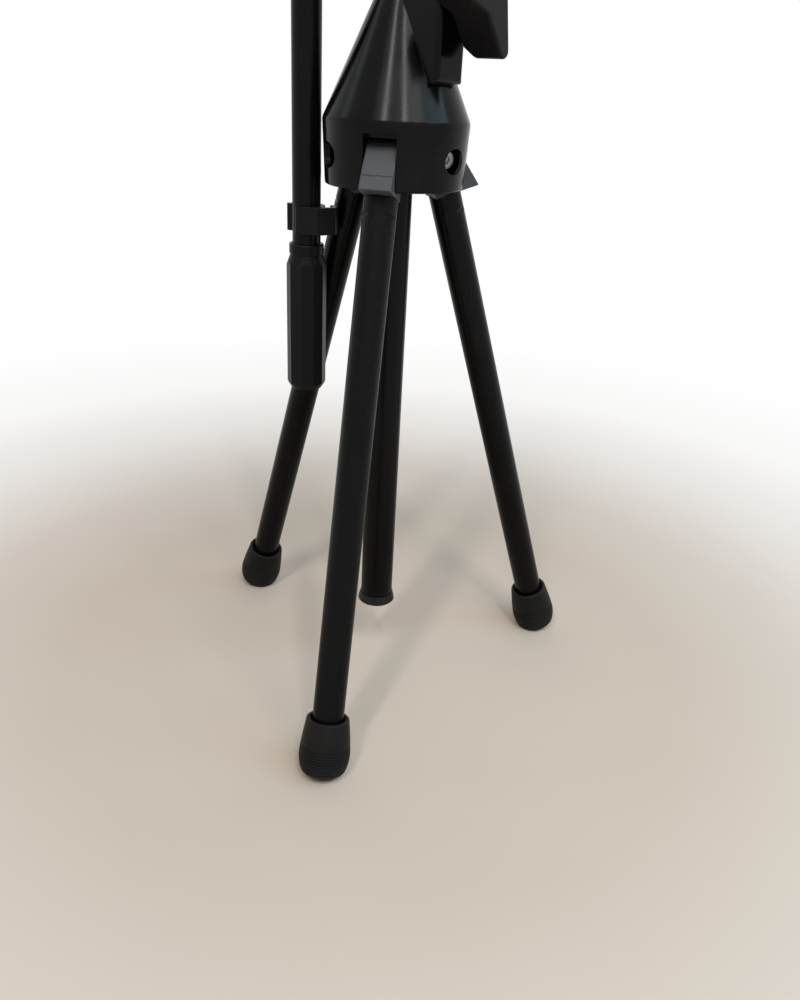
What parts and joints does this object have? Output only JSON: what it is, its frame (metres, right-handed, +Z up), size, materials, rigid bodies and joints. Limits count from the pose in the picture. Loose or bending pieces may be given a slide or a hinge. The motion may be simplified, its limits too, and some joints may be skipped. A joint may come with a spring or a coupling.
{
  "type": "webcam on tripod boom stand",
  "caption": "Webcam on the boom of a low folding tripod stand: conical hub with clamp knob, sliding column, tilting boom with grip and cable clip, rubber feet.",
  "frame": {"origin": "middle of the stand's bounding box on the floor", "axes": "+Z up along the column; -Y is the front, where one leg points and the webcam looks; the boom is on the -X side of the column"},
  "size_m": [0.2566, 0.2262, 0.8965],
  "materials": {
    "hub_plastic": "satin black moulding",
    "head_plastic": "matte black moulding",
    "black_tube": "semi-gloss black powder coat",
    "foot_rubber": "matte black rubber",
    "zinc_steel": "zinc-plated steel",
    "nylon": "natural nylon",
    "brass": "turned brass",
    "cap_plastic": "black moulded cap",
    "black_casting": "black coated casting",
    "knob_plastic": "black moulded nylon",
    "fibre": "brown fibre friction disc",
    "grip_plastic": "black moulded grip",
    "pad_rubber": "black rubber pad",
    "clip_plastic": "black moulded clip",
    "webcam_plastic": "fine-textured dark grey moulding",
    "gloss_panel": "gloss black",
    "mesh": "woven microphone mesh",
    "lens_ring": "dark anodised ring",
    "lens_glass": "coated glass",
    "lens_plastic": "matte black barrel",
    "sensor": "image sensor",
    "board": "green solder mask",
    "light_pipe": "clear light pipe"
  },
  "bodies": {
    "hub": {"hub_body": "hub_plastic", "leg_hinge_bolts": "zinc_steel", "leg_hinge_nuts": "zinc_steel", "clamp_shoe": "nylon", "clamp_insert": "brass"},
    "column_bush": {"column_bush_lower": "nylon", "column_bush_upper": "nylon"},
    "column": {"column_tube": "black_tube", "column_end_cap": "cap_plastic", "swivel_head": "black_casting", "swivel_grub_screw": "zinc_steel"},
    "height_clamp": {"clamp_knob": "knob_plastic", "clamp_stud": "zinc_steel", "clamp_washer": "zinc_steel"},
    "boom_clamp": {"boom_saddle": "knob_plastic", "eye_bolt": "zinc_steel", "friction_disc": "fibre"},
    "swivel_handle": {"swivel_knob": "knob_plastic", "swivel_washer": "zinc_steel"},
    "boom": {"boom_tube": "black_tube", "boom_grip": "grip_plastic", "boom_top_plug": "zinc_steel", "boom_thread_stud": "zinc_steel", "camera_seat": "black_casting", "seat_pad": "pad_rubber"},
    "cable_clip": {"cable_clip": "clip_plastic"},
    "lock_ring": {"lock_ring": "black_casting"},
    "webcam_foot": {"webcam_foot": "webcam_plastic", "webcam_hinge_pin": "zinc_steel"},
    "webcam": {"webcam_rear_shell": "webcam_plastic", "webcam_front_shell": "webcam_plastic", "front_panel": "gloss_panel", "microphone_meshes": "mesh", "lens_ring": "lens_ring", "lens_glass": "lens_glass", "lens_barrel": "lens_plastic", "image_sensor": "sensor", "main_board": "board", "usb_socket": "zinc_steel", "status_light": "light_pipe", "case_screws": "zinc_steel"},
    "privacy_shutter": {"privacy_shutter": "gloss_panel"},
    "leg_front": {"leg_head_front": "head_plastic", "leg_tube_front": "black_tube", "leg_foot_front": "foot_rubber", "foot_disc_front": "zinc_steel"},
    "leg_right": {"leg_head_right": "head_plastic", "leg_tube_right": "black_tube", "leg_foot_right": "foot_rubber", "foot_disc_right": "zinc_steel"},
    "leg_rear": {"leg_head_rear": "head_plastic", "leg_tube_rear": "black_tube", "leg_foot_rear": "foot_rubber", "foot_disc_rear": "zinc_steel"}
  },
  "joints": [
    {"name": "leg_fold_front", "type": "hinge", "parent": "hub", "child": "leg_front", "pos_m": [0, 0.00912, 0.3425], "axis": [-1, 0, 0], "range_deg": [-17, 0]},
    {"name": "leg_fold_right", "type": "hinge", "parent": "hub", "child": "leg_right", "pos_m": [0.02035, 0.04437, 0.3425], "axis": [0.5, -0.866, 0], "range_deg": [-17, 0]},
    {"name": "leg_fold_rear", "type": "hinge", "parent": "hub", "child": "leg_rear", "pos_m": [-0.02035, 0.04437, 0.3425], "axis": [0.5, 0.866, 0], "range_deg": [-17, 0]},
    {"name": "column_turn", "type": "hinge", "parent": "hub", "child": "column_bush", "pos_m": [0, 0.03262, 0.3665], "axis": [0, 0, 1], "range_deg": [0, 45]},
    {"name": "column_height", "type": "slide", "parent": "column_bush", "child": "column", "axis": [0, 0, 1], "range_m": [-0.025, 0.006]},
    {"name": "height_clamp_turn", "type": "hinge", "parent": "hub", "child": "height_clamp", "pos_m": [0.03161, 0.01437, 0.4203], "axis": [0.866, -0.5, 0], "range_deg": [0, 360]},
    {"name": "boom_tilt", "type": "hinge", "parent": "column", "child": "boom_clamp", "pos_m": [0, 0.03262, 0.6355], "axis": [1, 0, 0], "range_deg": [-110, 0]},
    {"name": "swivel_handle_turn", "type": "hinge", "parent": "boom_clamp", "child": "swivel_handle", "pos_m": [0.02, 0.03262, 0.6355], "axis": [1, 0, 0], "range_deg": [0, 360]},
    {"name": "boom_slide", "type": "slide", "parent": "boom_clamp", "child": "boom", "axis": [0, 0, 1], "range_m": [-0.14, 0.006]},
    {"name": "cable_clip_turn", "type": "hinge", "parent": "boom", "child": "cable_clip", "pos_m": [-0.0526, 0.03262, 0.2964], "axis": [0, 0, 1], "range_deg": [-60, 0]},
    {"name": "lock_ring_turn", "type": "hinge", "parent": "boom", "child": "lock_ring", "pos_m": [-0.0526, 0.03262, 0.8215], "axis": [0, 0, 1], "continuous": true},
    {"name": "webcam_pan", "type": "hinge", "parent": "boom", "child": "webcam_foot", "pos_m": [-0.0526, 0.03262, 0.8355], "axis": [0, 0, 1], "range_deg": [-180, 180]},
    {"name": "webcam_tilt", "type": "hinge", "parent": "webcam_foot", "child": "webcam", "pos_m": [-0.0526, 0.03262, 0.8525], "axis": [1, 0, 0], "range_deg": [-30, 30]},
    {"name": "shutter_slide", "type": "slide", "parent": "webcam", "child": "privacy_shutter", "axis": [1, 0, 0], "range_m": [-0.021, 0]}
  ]
}
